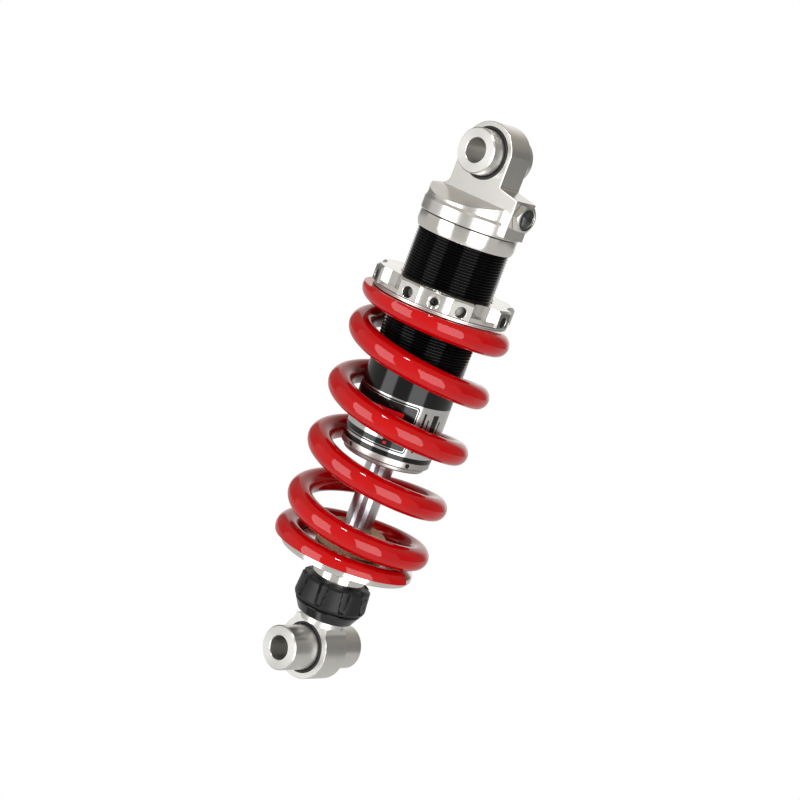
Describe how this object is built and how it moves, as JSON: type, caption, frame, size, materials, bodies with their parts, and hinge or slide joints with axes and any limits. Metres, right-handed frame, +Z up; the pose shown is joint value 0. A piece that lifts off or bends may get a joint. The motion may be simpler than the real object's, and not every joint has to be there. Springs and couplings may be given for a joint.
{
  "type": "motorcycle rear shock absorber",
  "caption": "Mono-tube motorcycle rear shock with a red coil spring, threaded preload ring, rebound knob and an eye with a steel sleeve at each end.",
  "frame": {"origin": "centre of the upper eye, on the axis of its bolt", "axes": "+Z up along the shock from the lower eye to the upper, +Y along both bolts, +X towards the gas valve"},
  "size_m": [0.0816, 0.0816, 0.3079],
  "materials": {
    "machined_aluminium": "satin machined, clear anodised",
    "black_anodised": "black anodised, glossy",
    "valve_steel": "bright plated",
    "sleeve_steel": "turned, satin",
    "hardened_steel": "ground",
    "hard_chrome": "mirror, hard chromed",
    "red_spring": "gloss powder coat",
    "black_rubber": "matt",
    "tan_foam": "closed-cell foam, matt",
    "black_plastic": "satin moulded",
    "valve_cap_plastic": "gloss moulded",
    "foil_label": "metallised foil",
    "bearing_bronze": "sintered",
    "piston_band_ptfe": "filled PTFE"
  },
  "bodies": {
    "damper_body": {"head": "machined_aluminium", "head_lock_ring": "machined_aluminium", "head_o_ring": "black_rubber", "gas_valve_body": "valve_steel", "gas_valve_core": "bearing_bronze", "gas_valve_cap": "valve_cap_plastic", "upper_bush": "bearing_bronze", "upper_seal_front": "black_rubber", "upper_seal_rear": "black_rubber", "damper_tube": "black_anodised", "tube_label": "foil_label", "seal_head": "machined_aluminium", "seal_head_o_ring": "black_rubber", "rod_bush": "bearing_bronze", "rod_seal": "black_rubber", "rod_wiper": "black_rubber", "top_out_bumper": "black_rubber", "coil_spring": "red_spring"},
    "upper_spacer": {"upper_sleeve": "sleeve_steel"},
    "gas_piston": {"floating_piston": "machined_aluminium", "floating_piston_o_ring": "black_rubber"},
    "spring_seat": {"spring_seat_washer": "sleeve_steel"},
    "preload_adjuster": {"preload_ring": "machined_aluminium", "lock_screw": "hardened_steel"},
    "rod_assembly": {"piston_rod": "hard_chrome", "rebound_washer": "hardened_steel", "rebound_shims": "hardened_steel", "piston": "machined_aluminium", "piston_band": "piston_band_ptfe", "compression_shims": "hardened_steel", "compression_washer": "hardened_steel", "piston_nut": "hardened_steel", "spring_perch": "machined_aluminium", "bump_stop": "tan_foam", "lower_eye": "machined_aluminium", "lower_bush": "bearing_bronze", "lower_seal_front": "black_rubber", "lower_seal_rear": "black_rubber", "detent_ball": "hardened_steel", "detent_spring": "hardened_steel"},
    "rebound_adjuster": {"rebound_knob": "black_plastic", "knob_dial": "black_plastic"},
    "metering_needle": {"rebound_needle": "hardened_steel", "adjuster_pin": "hardened_steel"},
    "lower_spacer": {"lower_sleeve": "sleeve_steel"}
  },
  "joints": [
    {"name": "upper_pivot", "type": "hinge", "parent": "damper_body", "child": "upper_spacer", "pos_m": [0, 0, 0], "axis": [0, 1, 0], "continuous": true},
    {"name": "rod_slide", "type": "slide", "parent": "damper_body", "child": "rod_assembly", "axis": [0, 0, 1], "range_m": [0, 0.039], "stiffness_N_per_m": 190000, "deforming": ["coil_spring"]},
    {"name": "gas_piston_slide", "type": "slide", "parent": "damper_body", "child": "gas_piston", "axis": [0, 0, 1], "range_m": [0, 0.0056]},
    {"name": "spring_seat_slide", "type": "slide", "parent": "damper_body", "child": "spring_seat", "axis": [0, 0, 1], "range_m": [0, 0.024]},
    {"name": "preload_turn", "type": "hinge", "parent": "spring_seat", "child": "preload_adjuster", "pos_m": [0, 0, -0.075], "axis": [0, 0, 1], "range_deg": [0, 5760]},
    {"name": "rebound_turn", "type": "hinge", "parent": "rod_assembly", "child": "rebound_adjuster", "pos_m": [0, 0, -0.2423], "axis": [0, 0, 1], "range_deg": [0, 1080]},
    {"name": "needle_slide", "type": "slide", "parent": "rod_assembly", "child": "metering_needle", "axis": [0, 0, 1], "range_m": [0, 0.003]},
    {"name": "lower_pivot", "type": "hinge", "parent": "rod_assembly", "child": "lower_spacer", "pos_m": [0, 0, -0.275], "axis": [0, 1, 0], "continuous": true}
  ],
  "couplings": [
    {"joint": "gas_piston_slide", "follows": "rod_slide", "ratio": 0.1388},
    {"joint": "preload_turn", "follows": "spring_seat_slide", "rad_per_m": 4188.8},
    {"joint": "rebound_turn", "follows": "needle_slide", "rad_per_m": 6283.2}
  ]
}
